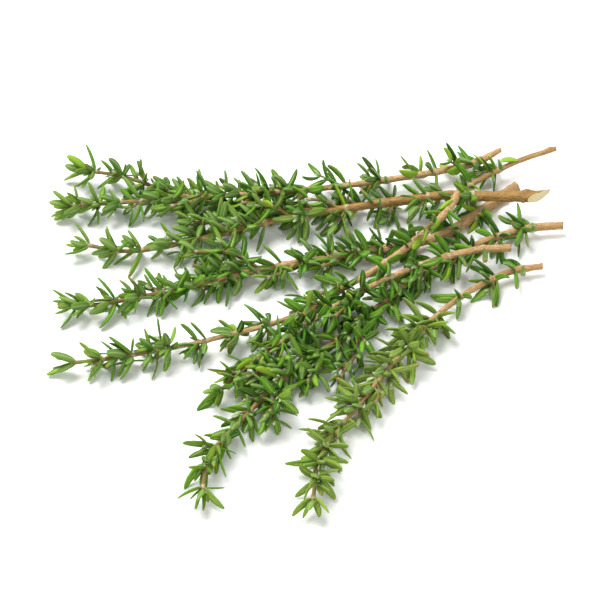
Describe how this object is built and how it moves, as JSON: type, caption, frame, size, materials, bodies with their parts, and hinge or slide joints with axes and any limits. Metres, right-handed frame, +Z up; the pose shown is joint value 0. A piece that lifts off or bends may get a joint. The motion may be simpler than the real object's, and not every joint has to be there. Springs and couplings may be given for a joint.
{
  "type": "thyme bundle",
  "caption": "Loose bundle of fresh thyme sprigs lying on a surface, fanned out from their cut ends, with small narrow leaves in crossed pairs.",
  "frame": {"origin": "middle of the bundle's footprint, on the surface that it lies on", "axes": "+X towards the cut ends, the tips point to -X and -Y, +Z up from the surface"},
  "size_m": [0.1476, 0.1325, 0.0164],
  "materials": {
    "thyme_leaf": "matt green leaf with a fine down, paler underneath",
    "thyme_stem": "dull brown bark, reddish green towards the tips"
  },
  "bodies": {
    "root": {"sprig_1": "thyme_leaf", "sprig_2": "thyme_leaf", "sprig_3": "thyme_leaf", "sprig_4": "thyme_leaf", "sprig_5": "thyme_leaf", "sprig_6": "thyme_leaf", "sprig_7": "thyme_leaf", "sprig_8": "thyme_leaf"}
  },
  "joints": []
}
